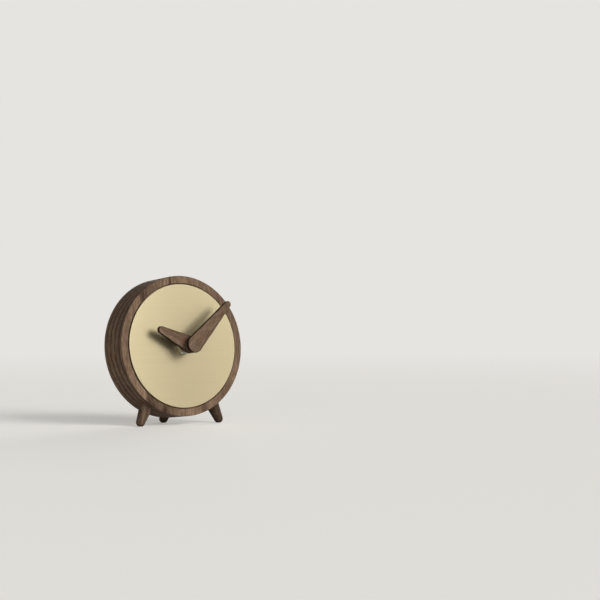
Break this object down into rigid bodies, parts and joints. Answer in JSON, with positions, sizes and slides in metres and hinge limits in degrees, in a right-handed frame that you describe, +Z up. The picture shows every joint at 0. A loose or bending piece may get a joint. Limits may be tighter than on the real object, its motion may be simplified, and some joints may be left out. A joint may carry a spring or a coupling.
{
  "type": "desk clock",
  "caption": "Small round desk clock: a turned walnut drum on tapered pegs, brass dial, tapered wooden hands and a battery quartz movement in a rear pocket.",
  "frame": {"origin": "middle of the clock's base on the surface that it stands on, under the middle of its width and depth", "axes": "+X to the right as the dial is read, +Y from the dial to the back, +Z up; the dial faces -Y and leans back"},
  "size_m": [0.1, 0.0468, 0.1057],
  "materials": {
    "drum_walnut": "oiled, satin",
    "peg_walnut": "oiled, satin",
    "hand_walnut": "oiled, satin",
    "dial_brass": "finely brushed",
    "adhesive_film": "thin film",
    "fitting_brass": "turned",
    "washer_steel": "plated",
    "gasket_rubber": "matt",
    "housing_plastic": "moulded",
    "cover_plastic": "fine spark texture",
    "plate_plastic": "moulded",
    "board_laminate": "lacquered",
    "chip_resin": "cured resin",
    "crystal_can": "bright can",
    "stator_steel": "annealed sheet",
    "bobbin_plastic": "moulded",
    "copper_wire": "enamelled wire",
    "magnet_ferrite": "sintered",
    "wheel_plastic": "moulded",
    "arbor_steel": "turned",
    "spring_steel": "plated strip",
    "knob_plastic": "moulded",
    "cell_sleeve": "plain sleeve",
    "cell_ends": "plated"
  },
  "bodies": {
    "case": {"case_drum": "drum_walnut", "front_leg_left": "peg_walnut", "front_leg_right": "peg_walnut", "rear_leg": "peg_walnut", "dial_plate": "dial_brass", "dial_adhesive": "adhesive_film", "centre_nut": "fitting_brass", "nut_washer": "washer_steel", "movement_gasket": "gasket_rubber", "movement_base": "housing_plastic", "middle_plate": "plate_plastic", "movement_cover": "cover_plastic", "circuit_board": "board_laminate", "circuit_chip": "chip_resin", "quartz_crystal": "crystal_can", "stator_core": "stator_steel", "coil_bobbin": "bobbin_plastic", "coil_winding": "copper_wire", "positive_contact": "spring_steel", "negative_contact": "spring_steel"},
    "minute_works": {"minute_hand": "hand_walnut", "minute_hand_collet": "fitting_brass", "minute_arbor": "arbor_steel", "clutch_spring": "spring_steel"},
    "hour_works": {"hour_hand": "hand_walnut", "hour_hand_collet": "fitting_brass", "hour_wheel": "wheel_plastic"},
    "setting_works": {"setting_wheel": "wheel_plastic", "set_knob": "knob_plastic"},
    "centre_wheel": {"centre_wheel": "wheel_plastic"},
    "third_wheel": {"third_wheel": "wheel_plastic"},
    "second_wheel": {"second_wheel": "wheel_plastic"},
    "intermediate_wheel": {"intermediate_wheel": "wheel_plastic"},
    "rotor": {"rotor_magnet": "magnet_ferrite", "rotor_pinion": "wheel_plastic"},
    "battery": {"battery_cell": "cell_sleeve", "battery_cap": "cell_ends", "battery_base": "cell_ends"}
  },
  "joints": [
    {"name": "minute_hand_turn", "type": "hinge", "parent": "case", "child": "minute_works", "pos_m": [0, 0.00202, 0.05522], "axis": [0, 0.9952, -0.0976], "continuous": true},
    {"name": "hour_hand_turn", "type": "hinge", "parent": "case", "child": "hour_works", "pos_m": [0, 0.00202, 0.05522], "axis": [0, 0.9952, -0.0976], "continuous": true},
    {"name": "set_knob_turn", "type": "hinge", "parent": "case", "child": "setting_works", "pos_m": [-0.00739, 0.00263, 0.06139], "axis": [0, 0.9952, -0.0976], "continuous": true},
    {"name": "second_wheel_turn", "type": "hinge", "parent": "case", "child": "second_wheel", "pos_m": [0.00677, 0.003, 0.06522], "axis": [0, 0.9952, -0.0976], "continuous": true},
    {"name": "rotor_turn", "type": "hinge", "parent": "case", "child": "rotor", "pos_m": [-0.00315, 0.00341, 0.0694], "axis": [0, 0.9952, -0.0976], "continuous": true},
    {"name": "intermediate_wheel_turn", "type": "hinge", "parent": "case", "child": "intermediate_wheel", "pos_m": [0.00067, 0.00335, 0.06872], "axis": [0, 0.9952, -0.0976], "continuous": true},
    {"name": "third_wheel_turn", "type": "hinge", "parent": "case", "child": "third_wheel", "pos_m": [0.00802, 0.00231, 0.05813], "axis": [0, 0.9952, -0.0976], "continuous": true},
    {"name": "centre_wheel_turn", "type": "hinge", "parent": "case", "child": "centre_wheel", "pos_m": [0, 0.00202, 0.05522], "axis": [0, 0.9952, -0.0976], "continuous": true},
    {"name": "battery_out", "type": "slide", "parent": "case", "child": "battery", "axis": [0, 0.9952, -0.0976], "range_m": [0, 0.018]}
  ],
  "couplings": [
    {"joint": "hour_hand_turn", "follows": "minute_hand_turn", "ratio": 0.083333},
    {"joint": "set_knob_turn", "follows": "minute_hand_turn", "ratio": -0.33333},
    {"joint": "rotor_turn", "follows": "second_wheel_turn", "ratio": 30},
    {"joint": "intermediate_wheel_turn", "follows": "second_wheel_turn", "ratio": -6},
    {"joint": "third_wheel_turn", "follows": "second_wheel_turn", "ratio": -0.125},
    {"joint": "centre_wheel_turn", "follows": "second_wheel_turn", "ratio": 0.016667}
  ]
}
